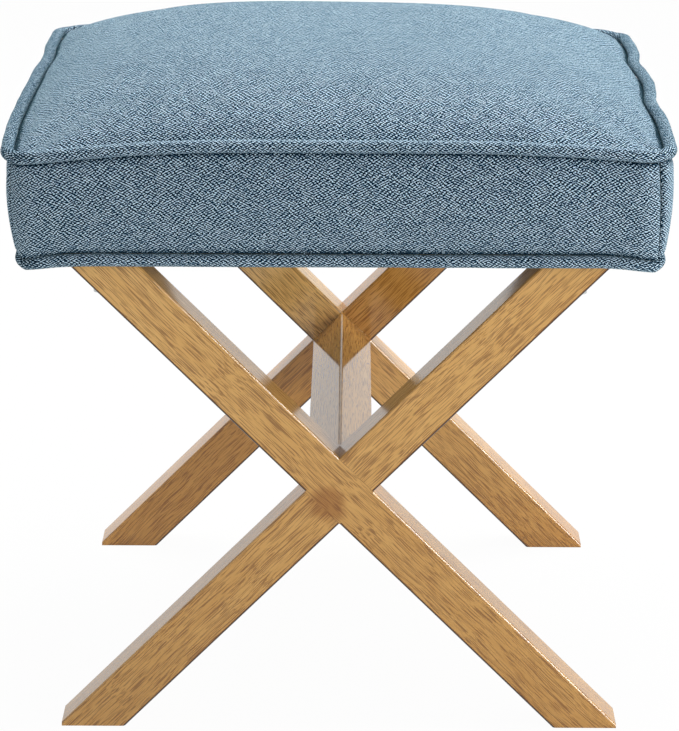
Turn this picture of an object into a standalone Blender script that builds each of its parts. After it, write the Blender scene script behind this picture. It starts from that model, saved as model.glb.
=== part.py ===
"""Square upholstered ottoman on two crossed-leg frames.

Metres, +Z up, origin on the floor under the middle of the seat, front towards -Y.
"""
import math

import bmesh
import bpy
from mathutils import Matrix, Vector

# Clearance between pieces that touch
GAP = 0.0003

# Legs: each crossed frame is two square bars, half lapped where they cross
LEG_SIDE = 0.034
LEG_EASE = 0.002
LEG_TOP = 0.342
CROSS_HEIGHT = 0.177
LEG_TOP_INSET = 0.0266
LEG_FACE_INSET = 0.0006
TOE_CLIP = 0.0025

# Dowels that join the stretcher to the crossings
DOWEL_DIAMETER = 0.008
DOWEL_IN_LEG = 0.0135
DOWEL_IN_STRETCHER = 0.020
DOWEL_SPREAD = 0.020

# Seat cover: width over the top piping, and how far each side leans in below
SEAT_WIDTH = 0.464
SEAT_TAPER = 0.0071
BOXING_HEIGHT = 0.0816
BOXING_BULGE = 0.003
BOXING_TUCK = 0.0018
CROWN = 0.0422
CORNER_DIP_TOP = 0.0068
CORNER_DIP_BOTTOM = 0.004
FABRIC = 0.0012
SEAM_GAP = 0.0006
WELT_DIAMETER = 0.009
WELT_WALL = 0.0009
WELT_SLIT = math.radians(30)
BOTTOM_WELT_RISE = 0.0022
WADDING = 0.008

# Seat frame under the cover
FRAME_CORNER_RADIUS = 0.012
RAIL_WIDTH = 0.045
RAIL_HEIGHT = 0.028
CORNER_BLOCK = 0.050
DECK = 0.009
DUST_COVER = 0.0006
DUST_COVER_INSET = 0.003

# Bolts that pull the legs up against the seat frame
BOLT_DIAMETER = 0.008
BOLT_LENGTH = 0.045
BOLT_HEAD_DIAMETER = 0.013
BOLT_HEAD_HEIGHT = 0.008
BOLT_SOCKET = 0.006
BOLT_SOCKET_DEPTH = 0.004
BOLT_CHAMFER = 0.0008
BOLT_LAND = 0.014
WASHER_DIAMETER = 0.016
WASHER = 0.0016
NUT_FLANGE_DIAMETER = 0.018
NUT_FLANGE = 0.0015
NUT_BARREL_DIAMETER = 0.011
NUT_BARREL = 0.012

# Facets
ROUND_SIDES = 16
STRAIGHT_CELLS = 10
CORNER_CELLS = 2
BOXING_CELLS = 5
WELT_SIDES = 7
CORD_SIDES = 6

# Heights, from the legs upwards
RAIL_BOTTOM = LEG_TOP + GAP + DUST_COVER + GAP
RAIL_TOP = RAIL_BOTTOM + RAIL_HEIGHT
DECK_BOTTOM = RAIL_TOP + GAP
DECK_TOP = DECK_BOTTOM + DECK
FOAM_BOTTOM = DECK_TOP + GAP
WELT_RADIUS = WELT_DIAMETER / 2
BOTTOM_WELT_Z = RAIL_BOTTOM + BOTTOM_WELT_RISE
TOP_WELT_Z = BOTTOM_WELT_Z + BOXING_HEIGHT

# Half widths of the seat, from the middle outwards
TOP_WELT_HALF = SEAT_WIDTH / 2 - WELT_RADIUS
BOTTOM_WELT_HALF = SEAT_WIDTH / 2 - SEAT_TAPER - WELT_RADIUS
FRAME_HALF = BOTTOM_WELT_HALF - WELT_RADIUS - GAP
CORE_HALF = FRAME_HALF - FRAME_CORNER_RADIUS
PANEL_HALF = TOP_WELT_HALF - WELT_RADIUS - GAP
BOXING_TOP_HALF = TOP_WELT_HALF + GAP
BOXING_BOTTOM_HALF = BOTTOM_WELT_HALF + WELT_RADIUS - BOXING_TUCK

# Leg line: it passes through the crossing and meets the seat frame at its inset
LEG_RISE = LEG_TOP - CROSS_HEIGHT
LEG_TOP_OUTER = FRAME_HALF - LEG_TOP_INSET
LEG_ANGLE = math.atan2(LEG_RISE, LEG_TOP_OUTER) + math.asin(
    LEG_SIDE / 2 / math.hypot(LEG_RISE, LEG_TOP_OUTER))
LEG_TOP_X = LEG_RISE / math.tan(LEG_ANGLE)
TOE_X = CROSS_HEIGHT / math.tan(LEG_ANGLE) + LEG_SIDE / 2 / math.sin(LEG_ANGLE)
FRAME_Y = FRAME_HALF - LEG_FACE_INSET - LEG_SIDE / 2
BOLT_SEAT_Z = LEG_TOP - BOLT_LAND
CUT_REACH = 2 * SEAT_WIDTH

# How the crown falls away to the piping, and where on a side the dip to its corners starts
CROWN_POWER = 3.0
SHOULDER_POWER = 0.65
DIP_START = 0.3
DIP_FADE = 4

# Perimeter shared by frame, padding, cover and piping: points on a core square, pushed out along
# the normal, so every layer keeps parallel rounded corners
CORNER_ARC = (PANEL_HALF - CORE_HALF) * math.pi / 4
STRAIGHT_SHARE = CORE_HALF / (CORE_HALF + CORNER_ARC)


def clear_scene():
    for item in list(bpy.data.objects):
        bpy.data.objects.remove(item, do_unlink=True)


def material(name, colour, roughness, metallic=0.0):
    finish = bpy.data.materials.new(name)
    finish.use_nodes = True
    shader = finish.node_tree.nodes["Principled BSDF"]
    shader.inputs["Base Color"].default_value = (*colour, 1.0)
    shader.inputs["Roughness"].default_value = roughness
    shader.inputs["Metallic"].default_value = metallic
    return finish


def add_object(name, mesh_builder, finish=None, parent=None):
    """One named object from a filled bmesh, with its faces turned outwards."""
    bmesh.ops.recalc_face_normals(mesh_builder, faces=mesh_builder.faces)
    mesh = bpy.data.meshes.new(name)
    mesh_builder.to_mesh(mesh)
    mesh_builder.free()
    item = bpy.data.objects.new(name, mesh)
    bpy.context.collection.objects.link(item)
    if finish:
        mesh.materials.append(finish)
    if parent:
        item.parent = parent
    return item


def cut(item, cutter):
    """Take a guide solid out of an item, in the place where both stand."""
    cutter.hide_render = True
    cutter.display_type = "WIRE"
    if cutter.parent is None:
        cutter.parent = item.parent
    step = item.modifiers.new(cutter.name, "BOOLEAN")
    step.operation = "DIFFERENCE"
    step.solver = "EXACT"
    step.object = cutter


def smooth_round(item):
    item.data.shade_smooth()
    item.data.set_sharp_from_angle(angle=math.radians(40))


def prism(name, outline, low, high, finish=None, parent=None):
    """A flat outline raised between two heights."""
    shape = bmesh.new()
    ring = [shape.verts.new((x, y, low)) for x, y in outline]
    face = shape.faces.new(ring)
    raised = bmesh.ops.extrude_face_region(shape, geom=[face])
    tops = [part for part in raised["geom"] if isinstance(part, bmesh.types.BMVert)]
    bmesh.ops.translate(shape, verts=tops, vec=(0, 0, high - low))
    return add_object(name, shape, finish, parent)


def turned(name, profile, finish=None, parent=None, sides=ROUND_SIDES):
    """A closed profile of (radius, height) points, spun about Z."""
    shape = bmesh.new()
    points = [shape.verts.new((radius, 0, height)) for radius, height in profile]
    edges = [shape.edges.new((points[i], points[(i + 1) % len(points)])) for i in range(len(points))]
    on_axis = [edge for edge in edges if all(abs(end.co.x) < GAP / 10 for end in edge.verts)]
    bmesh.ops.delete(shape, geom=on_axis, context="EDGES")
    bmesh.ops.spin(shape, geom=list(shape.verts) + list(shape.edges), axis=(0, 0, 1), cent=(0, 0, 0),
                   steps=sides, angle=2 * math.pi)
    bmesh.ops.remove_doubles(shape, verts=shape.verts, dist=GAP / 30)
    item = add_object(name, shape, finish, parent)
    smooth_round(item)
    return item


def rod(name, radius, low, high, finish=None, parent=None, sides=ROUND_SIDES):
    return turned(name, [(0, high), (radius, high), (radius, low), (0, low)], finish, parent, sides)


def bar(side, length, ease):
    """A square bar along X, with its long edges eased."""
    shape = bmesh.new()
    bmesh.ops.create_cube(shape, size=1.0)
    bmesh.ops.scale(shape, verts=shape.verts, vec=(length, side, side))
    if ease:
        long_edges = [edge for edge in shape.edges
                      if abs(edge.verts[0].co.x - edge.verts[1].co.x) > length / 2]
        bmesh.ops.bevel(shape, geom=long_edges, offset=ease, offset_type="OFFSET", segments=2,
                        profile=0.5, affect="EDGES")
    return shape


def saw(shape, point, normal):
    """Saw off what lies beyond a plane and close the cut."""
    geometry = list(shape.verts) + list(shape.edges) + list(shape.faces)
    result = bmesh.ops.bisect_plane(shape, geom=geometry, plane_co=point, plane_no=normal,
                                    clear_outer=True)
    edges = [part for part in result["geom_cut"] if isinstance(part, bmesh.types.BMEdge)]
    bmesh.ops.edgeloop_fill(shape, edges=edges)


def crossed_leg(name, lean, lap_side, finish, frame):
    """One leg: lean +1 rises to the right, and lap_side is the half of it that is cut away."""
    turn = Matrix.Rotation(-lean * LEG_ANGLE, 4, "Y")
    shape = bar(LEG_SIDE, CUT_REACH, LEG_EASE)
    bmesh.ops.transform(shape, matrix=Matrix.Translation((0, 0, CROSS_HEIGHT)) @ turn, verts=shape.verts)
    saw(shape, Vector((0, 0, 0)), Vector((0, 0, -1)))
    saw(shape, Vector((0, 0, LEG_TOP)), Vector((0, 0, 1)))
    saw(shape, Vector((-lean * (TOE_X - TOE_CLIP), 0, 0)), Vector((-lean, 0, 0)))
    leg = add_object(name, shape, finish, frame)

    lap = bar(LEG_SIDE + 2 * GAP, CUT_REACH, 0)
    lap_turn = Matrix.Rotation(lean * LEG_ANGLE, 4, "Y")
    lap_shift = lap_side * (LEG_SIDE / 2 + GAP / 2)
    bmesh.ops.transform(lap, matrix=Matrix.Translation((0, lap_shift, CROSS_HEIGHT)) @ lap_turn,
                        verts=lap.verts)
    cut(leg, add_object(name + "_lap", lap, parent=frame))

    head_room = WASHER_DIAMETER / 2 + GAP
    shank_room = BOLT_DIAMETER / 2 + GAP
    bolt_hole = turned(name + "_bolt_hole", [
        (0, LEG_TOP + LEG_SIDE), (shank_room, LEG_TOP + LEG_SIDE), (shank_room, BOLT_SEAT_Z),
        (head_room, BOLT_SEAT_Z), (head_room, CROSS_HEIGHT), (0, CROSS_HEIGHT)], parent=frame)
    bolt_hole.location.x = lean * LEG_TOP_X
    cut(leg, bolt_hole)
    return leg


def dowel_places():
    return [CROSS_HEIGHT + offset for offset in (DOWEL_SPREAD / 2, -DOWEL_SPREAD / 2)]


def crossed_frame(place, side, finishes):
    """Two half-lapped legs, their dowels and their bolts; side -1 is the front, +1 the rear."""
    frame = bpy.data.objects.new(place + "_frame", None)
    bpy.context.collection.objects.link(frame)
    frame.location = (0, side * FRAME_Y, 0)
    frame.rotation_euler = (0, 0, 0 if side < 0 else math.pi)
    crossed_leg(place + "_leg_outer_lap", -1, 1, finishes["oak"], frame)
    inner = crossed_leg(place + "_leg_inner_lap", 1, -1, finishes["oak"], frame)

    # Dowels run along Y from the stretcher into the inner leg
    face = LEG_SIDE / 2
    for count, height in enumerate(dowel_places()):
        label = place + "_dowel_" + ("upper", "lower")[count]
        hole = rod(label + "_hole", DOWEL_DIAMETER / 2 + GAP, -DOWEL_IN_LEG - GAP, LEG_SIDE, parent=frame)
        pin = rod(label, DOWEL_DIAMETER / 2, -DOWEL_IN_LEG, DOWEL_IN_STRETCHER, finishes["beech"], frame)
        for item in (hole, pin):
            item.location = (0, face, height)
            item.rotation_euler = (-math.pi / 2, 0, 0)
        cut(inner, hole)

    for lean, hand in ((-1, "left"), (1, "right")):
        seat_hand = hand if side < 0 else ("right" if hand == "left" else "left")
        fasteners(place + "_" + seat_hand, lean * LEG_TOP_X, frame, finishes["zinc"])
    return frame


def fasteners(label, across, frame, finish):
    """Bolt, washer and flanged nut of one leg top."""
    washer_top = BOLT_SEAT_Z - GAP
    washer_low = washer_top - WASHER
    bore = BOLT_DIAMETER / 2 + GAP
    washer = turned("washer_" + label, [
        (WASHER_DIAMETER / 2, washer_top), (WASHER_DIAMETER / 2, washer_low),
        (bore, washer_low), (bore, washer_top)], finish, frame)

    under_head = washer_low - GAP
    head_low = under_head - BOLT_HEAD_HEIGHT
    head = BOLT_HEAD_DIAMETER / 2
    shank = BOLT_DIAMETER / 2
    tip = under_head + BOLT_LENGTH
    bolt = turned("bolt_" + label, [
        (0, tip), (shank - BOLT_CHAMFER, tip), (shank, tip - BOLT_CHAMFER), (shank, under_head),
        (head, under_head), (head, head_low), (0, head_low)], finish, frame)
    socket = rod("socket_" + label, BOLT_SOCKET / math.sqrt(3), head_low - GAP,
                 head_low + BOLT_SOCKET_DEPTH, parent=frame, sides=6)

    flange_top = RAIL_TOP - GAP
    flange_low = flange_top - NUT_FLANGE
    nut = turned("nut_" + label, [
        (NUT_FLANGE_DIAMETER / 2, flange_top), (NUT_FLANGE_DIAMETER / 2, flange_low),
        (NUT_BARREL_DIAMETER / 2, flange_low), (NUT_BARREL_DIAMETER / 2, flange_low - NUT_BARREL),
        (bore, flange_low - NUT_BARREL), (bore, flange_top)], finish, frame)
    for item in (washer, bolt, socket, nut):
        item.location.x = across
    cut(bolt, socket)


def stretcher(finishes):
    """Square bar turned on its corner between the two crossings."""
    inner_face = FRAME_Y - LEG_SIDE / 2
    shape = bar(LEG_SIDE, 2 * (inner_face - GAP), LEG_EASE)
    turn = Matrix.Rotation(math.pi / 2, 4, "Z") @ Matrix.Rotation(math.pi / 4, 4, "X")
    bmesh.ops.transform(shape, matrix=turn, verts=shape.verts)
    rail = add_object("stretcher", shape, finishes["oak"])
    rail.location.z = CROSS_HEIGHT
    for end in (-1, 1):
        for count, height in enumerate(dowel_places()):
            reach = DOWEL_IN_STRETCHER + GAP
            hole = rod(f"stretcher_hole_{end}_{count}", DOWEL_DIAMETER / 2 + GAP, -LEG_SIDE, reach)
            hole.location = (0, end * inner_face, height)
            hole.rotation_euler = (end * math.pi / 2, 0, 0)
            cut(rail, hole)


def side_steps():
    """Positions along one side from corner seam to corner seam, from -1 to 1."""
    straight = [STRAIGHT_SHARE * (2 * i / STRAIGHT_CELLS - 1) for i in range(STRAIGHT_CELLS + 1)]
    corner = [STRAIGHT_SHARE + (1 - STRAIGHT_SHARE) * (i + 1) / CORNER_CELLS for i in range(CORNER_CELLS)]
    return [-step for step in reversed(corner)] + straight + corner


def side_point(step, out):
    """Front side: position on it at a distance out from the core square."""
    along = max(-STRAIGHT_SHARE, min(STRAIGHT_SHARE, step)) / STRAIGHT_SHARE * CORE_HALF
    past = max(0.0, abs(step) - STRAIGHT_SHARE) / (1 - STRAIGHT_SHARE)
    angle = math.copysign(past * math.pi / 4, step)
    return Vector((along + out * math.sin(angle), -CORE_HALF - out * math.cos(angle), 0))


def around(out):
    """The whole perimeter at a distance out from the core square, from the front left seam."""
    ring = []
    for quarter in range(4):
        turn = Matrix.Rotation(quarter * math.pi / 2, 3, "Z")
        ring += [(turn @ side_point(step, out), step, turn) for step in side_steps()[:-1]]
    return ring


def corner_dip(step):
    """0 along most of a side, rising to 1 at its corner seams."""
    return max(0.0, (abs(step) - DIP_START) / (1 - DIP_START)) ** 2


def crown_point(across, along, half, top, sink):
    """A point of the crowned top; across and along run from -1 to 1."""
    ring = max(abs(across), abs(along))
    if ring == 0:
        flat, step = Vector((0, 0, 0)), 0.0
    elif abs(along) >= abs(across):
        step = across / ring
        flat = side_point(step, half - CORE_HALF) * ring
        flat.y *= -math.copysign(1, along)
    else:
        step = along / ring
        flat = side_point(step, half - CORE_HALF) * ring
        flat = Vector((-flat.y * math.copysign(1, across), flat.x, 0))
    rise = ((1 - abs(across) ** CROWN_POWER) * (1 - abs(along) ** CROWN_POWER)) ** SHOULDER_POWER
    flat.z = top - sink + CROWN * rise - CORNER_DIP_TOP * corner_dip(step) * ring ** DIP_FADE
    return flat


def crown_grid(shape, half, sink):
    """Crowned grid of a top surface; returns its vertices by row."""
    steps = side_steps()
    rows = [[shape.verts.new(crown_point(across, along, half, TOP_WELT_Z, sink)) for across in steps]
            for along in steps]
    for low, high in zip(rows, rows[1:]):
        for i in range(len(steps) - 1):
            shape.faces.new((low[i], low[i + 1], high[i + 1], high[i]))
    return rows


def grid_rim(rows):
    """The outer vertices of a grid in the order that around() uses."""
    front = rows[0][:-1]
    right = [row[-1] for row in rows[:-1]]
    rear = list(reversed(rows[-1][1:]))
    left = [row[0] for row in reversed(rows[1:])]
    return front + right + rear + left


def join_rings(shape, first, second):
    count = len(first)
    for i in range(count):
        after = (i + 1) % count
        shape.faces.new((first[i], first[after], second[after], second[i]))


def boxing_half(share):
    """Outer half width of the cover's side between the bottom (0) and the top (1) piping."""
    straight = BOXING_BOTTOM_HALF + (BOXING_TOP_HALF - BOXING_BOTTOM_HALF) * share
    return straight + BOXING_BULGE * math.sin(math.pi * share)


def boxing_height(share, step):
    low = BOTTOM_WELT_Z + WELT_RADIUS + GAP - CORNER_DIP_BOTTOM * corner_dip(step)
    high = TOP_WELT_Z - WELT_RADIUS - GAP - CORNER_DIP_TOP * corner_dip(step)
    return low + (high - low) * share


def padding_ring(shape, share, inset):
    """A ring of vertices inside the cover's side, a distance in from its face."""
    ring = []
    for point, step, _ in around(boxing_half(share) - inset - CORE_HALF):
        point.z = boxing_height(share, step)
        ring.append(shape.verts.new(point))
    return ring


def frame_ring(shape, out, height):
    return [shape.verts.new((point.x, point.y, height)) for point, _, _ in around(out)]


def top_panel(finish):
    shape = bmesh.new()
    crown_grid(shape, PANEL_HALF, 0)
    panel = add_object("top_panel", shape, finish)
    thicken(panel)


def thicken(panel):
    """Give a sheet the fabric's thickness, on its inner side."""
    panel.data.shade_smooth()
    step = panel.modifiers.new("cloth", "SOLIDIFY")
    step.thickness = FABRIC
    step.offset = -1


def boxing_panel(name, quarter, finish):
    """One side of the cover, from corner seam to corner seam."""
    shape = bmesh.new()
    turn = Matrix.Rotation(quarter * math.pi / 2, 3, "Z")
    steps = side_steps()
    rows = []
    for level in range(BOXING_CELLS + 1):
        share = level / BOXING_CELLS
        row = []
        for step in steps:
            point = side_point(step, boxing_half(share) - CORE_HALF)
            if abs(step) == max(steps):
                point.x -= math.copysign(SEAM_GAP, step) * math.sqrt(0.5)
                point.y -= SEAM_GAP * math.sqrt(0.5)
            point.z = boxing_height(share, step)
            row.append(shape.verts.new(turn @ point))
        rows.append(row)
    for low, high in zip(rows, rows[1:]):
        for i in range(len(steps) - 1):
            shape.faces.new((low[i], low[i + 1], high[i + 1], high[i]))
    panel = add_object(name, shape, finish)
    outward = turn @ Vector((0, -1, 0))
    if panel.data.polygons[len(steps) // 2].normal.dot(outward) < 0:
        panel.data.flip_normals()
    thicken(panel)


def swept_ring(name, half, height, dip, section, finish):
    """A closed (outward, up) section carried round the seat at a half width."""
    shape = bmesh.new()
    rings = []
    for outward, up in section:
        ring = []
        for point, step, _ in around(half + outward - CORE_HALF):
            point.z = height + up - dip * corner_dip(step)
            ring.append(shape.verts.new(point))
        rings.append(ring)
    for first, second in zip(rings, rings[1:] + rings[:1]):
        join_rings(shape, first, second)
    item = add_object(name, shape, finish)
    smooth_round(item)


def welt(name, half, height, dip, slit_angle, finishes):
    """Piping: a fabric tube, open along its sewn side, round a filler cord."""
    sweep = 2 * math.pi - WELT_SLIT
    angles = [slit_angle + WELT_SLIT / 2 + sweep * i / WELT_SIDES for i in range(WELT_SIDES + 1)]
    inner = WELT_RADIUS - WELT_WALL
    tube = [(WELT_RADIUS * math.cos(a), WELT_RADIUS * math.sin(a)) for a in angles]
    tube += [(inner * math.cos(a), inner * math.sin(a)) for a in reversed(angles)]
    swept_ring(name, half, height, dip, tube, finishes["tweed"])
    cord_radius = inner * math.cos(sweep / WELT_SIDES / 2) - GAP
    turns = [2 * math.pi * i / CORD_SIDES for i in range(CORD_SIDES)]
    cord = [(cord_radius * math.cos(a), cord_radius * math.sin(a)) for a in turns]
    swept_ring(name + "_cord", half, height, dip, cord, finishes["cord"])


def seat_foam(finish):
    """Crowned block on the deck, its top drawn in a little from its base."""
    shape = bmesh.new()
    layer = FABRIC + GAP + WADDING + GAP
    rows = crown_grid(shape, PANEL_HALF - layer, layer)
    base = frame_ring(shape, FRAME_CORNER_RADIUS, FOAM_BOTTOM)
    join_rings(shape, grid_rim(rows), base)
    shape.faces.new(base)
    foam = add_object("seat_foam", shape, finish)
    smooth_round(foam)


def wadding_wrap(finish):
    """Polyester cap over the foam and down the sides of the frame."""
    shape = bmesh.new()
    outer_layer = FABRIC + GAP
    outer_rings = [grid_rim(crown_grid(shape, PANEL_HALF - outer_layer, outer_layer))]
    for level in range(BOXING_CELLS, -1, -1):
        outer_rings.append(padding_ring(shape, level / BOXING_CELLS, outer_layer))
    inner_layer = outer_layer + WADDING
    inner_rings = [grid_rim(crown_grid(shape, PANEL_HALF - inner_layer, inner_layer))]
    clear_of_frame = FRAME_CORNER_RADIUS + GAP
    inner_rings.append(frame_ring(shape, clear_of_frame, FOAM_BOTTOM))
    rim = []
    for point, step, _ in around(clear_of_frame):
        point.z = boxing_height(0, step)
        rim.append(shape.verts.new(point))
    inner_rings.append(rim)
    for rings in (outer_rings, inner_rings):
        for first, second in zip(rings, rings[1:]):
            join_rings(shape, first, second)
    join_rings(shape, outer_rings[-1], inner_rings[-1])
    wrap = add_object("wadding_wrap", shape, finish)
    smooth_round(wrap)


def flat_outline(out):
    return [(point.x, point.y) for point, _, _ in around(out)]


def rail_outline():
    """Front rail: square inside, round at the two outer corners."""
    inner = -FRAME_HALF + RAIL_WIDTH
    corner = [i / ROUND_SIDES * 4 * math.pi / 2 for i in range(ROUND_SIDES // 4 + 1)]
    radius = FRAME_CORNER_RADIUS
    left = [(-CORE_HALF - radius * math.cos(a), -CORE_HALF - radius * math.sin(a)) for a in corner]
    right = [(-x, y) for x, y in reversed(left)]
    return [(-FRAME_HALF, inner)] + left + right + [(FRAME_HALF, inner)]


def seat_frame(finishes):
    """Front and rear rails across, side rails between them, blocks in the corners, deck on top."""
    nut_hole = [
        (0, DECK_TOP), (NUT_FLANGE_DIAMETER / 2 + GAP, DECK_TOP),
        (NUT_FLANGE_DIAMETER / 2 + GAP, RAIL_TOP - NUT_FLANGE - 2 * GAP),
        (NUT_BARREL_DIAMETER / 2 + GAP, RAIL_TOP - NUT_FLANGE - 2 * GAP),
        (NUT_BARREL_DIAMETER / 2 + GAP, LEG_TOP), (0, LEG_TOP)]
    for place, angle in (("front", 0), ("rear", math.pi)):
        rail = prism(place + "_rail", rail_outline(), RAIL_BOTTOM, RAIL_TOP, finishes["pine"])
        rail.rotation_euler.z = angle
        for hand in (-1, 1):
            hole = turned(f"{place}_rail_hole_{hand}", nut_hole)
            hole.location = (hand * LEG_TOP_X, -FRAME_Y if place == "front" else FRAME_Y, 0)
            cut(rail, hole)

    inside = FRAME_HALF - RAIL_WIDTH
    for place, hand in (("left", -1), ("right", 1)):
        end = inside - GAP
        outline = [(hand * inside, -end), (hand * FRAME_HALF, -end),
                   (hand * FRAME_HALF, end), (hand * inside, end)]
        prism(place + "_rail", outline, RAIL_BOTTOM, RAIL_TOP, finishes["pine"])

    corner = inside - GAP
    block = [(-corner, -corner), (-corner + CORNER_BLOCK, -corner), (-corner, -corner + CORNER_BLOCK)]
    for quarter, place in enumerate(("front_left", "front_right", "rear_right", "rear_left")):
        piece = prism("corner_block_" + place, block, RAIL_BOTTOM, RAIL_TOP, finishes["pine"])
        piece.rotation_euler.z = quarter * math.pi / 2

    prism("seat_deck", flat_outline(FRAME_CORNER_RADIUS), DECK_BOTTOM, DECK_TOP, finishes["ply"])


def dust_cover(finish):
    """Black cambric under the frame, pierced by the four bolts."""
    sheet = prism("dust_cover", flat_outline(FRAME_CORNER_RADIUS - DUST_COVER_INSET),
                  LEG_TOP + GAP, LEG_TOP + GAP + DUST_COVER, finish)
    for side in (-1, 1):
        for hand in (-1, 1):
            hole = rod(f"dust_cover_hole_{side}_{hand}", BOLT_DIAMETER / 2 + GAP,
                       LEG_TOP - LEG_SIDE, RAIL_TOP)
            hole.location = (hand * LEG_TOP_X, side * FRAME_Y, 0)
            cut(sheet, hole)


def main():
    clear_scene()
    finishes = {
        "oak": material("honey_stained_oak", (0.42, 0.23, 0.095), 0.32),
        "beech": material("bare_beech", (0.62, 0.46, 0.30), 0.7),
        "pine": material("sawn_pine", (0.66, 0.50, 0.31), 0.75),
        "ply": material("birch_plywood", (0.70, 0.55, 0.36), 0.7),
        "foam": material("polyurethane_foam", (0.86, 0.82, 0.66), 0.95),
        "wadding": material("polyester_wadding", (0.92, 0.92, 0.92), 0.95),
        "tweed": material("blue_tweed", (0.145, 0.225, 0.31), 0.9),
        "cord": material("cotton_cord", (0.85, 0.82, 0.74), 0.9),
        "cambric": material("black_cambric", (0.02, 0.02, 0.022), 0.9),
        "zinc": material("zinc_plated_steel", (0.62, 0.62, 0.60), 0.35, 1.0),
    }
    for place, side in (("front", -1), ("rear", 1)):
        crossed_frame(place, side, finishes)
    stretcher(finishes)
    seat_frame(finishes)
    dust_cover(finishes["cambric"])
    seat_foam(finishes["foam"])
    wadding_wrap(finishes["wadding"])
    top_panel(finishes["tweed"])
    for quarter, place in enumerate(("front", "right", "rear", "left")):
        boxing_panel("boxing_" + place, quarter, finishes["tweed"])
    welt("top_welt", TOP_WELT_HALF, TOP_WELT_Z, CORNER_DIP_TOP, math.radians(225), finishes)
    welt("bottom_welt", BOTTOM_WELT_HALF, BOTTOM_WELT_Z, CORNER_DIP_BOTTOM, math.radians(180), finishes)


main()
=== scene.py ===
import math

import bmesh
import bpy
from mathutils import Matrix, Vector, noise


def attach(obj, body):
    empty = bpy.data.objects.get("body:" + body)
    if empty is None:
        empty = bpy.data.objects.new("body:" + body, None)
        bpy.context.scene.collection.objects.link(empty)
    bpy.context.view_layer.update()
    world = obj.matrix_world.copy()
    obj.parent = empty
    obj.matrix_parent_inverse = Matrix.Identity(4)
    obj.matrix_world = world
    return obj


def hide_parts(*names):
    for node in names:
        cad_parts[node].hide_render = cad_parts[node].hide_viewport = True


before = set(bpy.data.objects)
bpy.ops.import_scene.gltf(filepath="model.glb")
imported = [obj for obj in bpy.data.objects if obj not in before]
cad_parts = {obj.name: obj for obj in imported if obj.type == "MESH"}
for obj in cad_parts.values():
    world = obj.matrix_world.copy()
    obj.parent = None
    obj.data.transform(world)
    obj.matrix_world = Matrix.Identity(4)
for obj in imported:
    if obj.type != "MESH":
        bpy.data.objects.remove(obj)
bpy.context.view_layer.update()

# Photograph's frame in pixels, and the camera that took it
PHOTO_HEIGHT = 731
CAMERA_PLACE = Vector((0.0098068, -2.4630143, 0.9121064))
CAMERA_PITCH = 0.2785521
CAMERA_YAW = -0.0044545
CAMERA_ROLL = 0.0028809
CAMERA_REACH = 50
FOCAL_PIXELS = 3367.6
SENSOR = 36.0

UP = Vector((0, 0, 1))

# Clearance between pieces that touch
GAP = 0.0003

# Crossed frames
LEG_SIDE = 0.034
LEG_EASE = 0.002
LEG_TOP = 0.342
CROSS_HEIGHT = 0.177
LEG_TOP_INSET = 0.0266
LEG_FACE_INSET = 0.0006
TOE_CLIP = 0.0025
EASE_SEGMENTS = 4
LAP_GAP = 0.00004
SHARP = 0.00005
DOWEL_DIAMETER = 0.008
DOWEL_IN_LEG = 0.0135
DOWEL_IN_STRETCHER = 0.020
DOWEL_SPREAD = 0.020
BOLT_DIAMETER = 0.008
BOLT_LAND = 0.014
WASHER_DIAMETER = 0.016
HOLE_SIDES = 32
SMOOTH_UP_TO = math.radians(35)

# Seat cover
SEAT_WIDTH = 0.464
SEAT_TAPER = 0.0071
BOXING_HEIGHT = 0.0816
BOXING_BULGE = 0.003
BOXING_TUCK = 0.0018
CROWN = 0.0422
CORNER_DIP_TOP = 0.0068
CORNER_DIP_BOTTOM = 0.004
FABRIC = 0.0012
SEAM_GAP = 0.0001
WELT_DIAMETER = 0.009
WELT_WALL = 0.0009
WELT_SLIT = math.radians(30)
TOP_SLIT_ANGLE = math.radians(225)
BOTTOM_SLIT_ANGLE = math.radians(180)
BOTTOM_WELT_RISE = 0.0022
STRANDS = 3
STRAND_PITCH = 0.018
STRAND_DEPTH = 0.1
WADDING = 0.008
WADDING_PRESSED = 0.7
PADDING_EDGE_POWER = 6
CROWN_POWER = 3.1
CROWN_TILT = 0.07
SHOULDER_POWER = 0.65
DIP_START = 0.3
BOTTOM_DIP_START = 0.8
DIP_FADE = 4

# Seat frame
FRAME_CORNER_RADIUS = 0.012
RAIL_HEIGHT = 0.028
RAIL_WIDTH = 0.045
DECK = 0.009
DUST_COVER = 0.0006
DUST_COVER_INSET = 0.003
DUST_COVER_SAG = 0.003
STAPLE_CROWN = 0.010
STAPLE_WIRE = 0.0008
STAPLE_PITCH = 0.048
STAPLE_INSET = 0.011
STAPLE_SUNK = 0.4 * STAPLE_WIRE
STAPLE_EASE = 0.3 * STAPLE_WIRE

# Heights
RAIL_BOTTOM = LEG_TOP + GAP + DUST_COVER + GAP
FOAM_BOTTOM = RAIL_BOTTOM + RAIL_HEIGHT + GAP + DECK + GAP
WELT_RADIUS = WELT_DIAMETER / 2
BOTTOM_WELT_Z = RAIL_BOTTOM + BOTTOM_WELT_RISE
TOP_WELT_Z = BOTTOM_WELT_Z + BOXING_HEIGHT

# Half widths, from the middle of the seat outwards
TOP_WELT_HALF = SEAT_WIDTH / 2 - WELT_RADIUS
BOTTOM_WELT_HALF = SEAT_WIDTH / 2 - SEAT_TAPER - WELT_RADIUS
FRAME_HALF = BOTTOM_WELT_HALF - WELT_RADIUS - GAP
CORE_HALF = FRAME_HALF - FRAME_CORNER_RADIUS
PANEL_HALF = TOP_WELT_HALF - WELT_RADIUS - GAP
BOXING_TOP_HALF = TOP_WELT_HALF + GAP
BOXING_BOTTOM_HALF = BOTTOM_WELT_HALF + WELT_RADIUS - BOXING_TUCK

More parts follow.
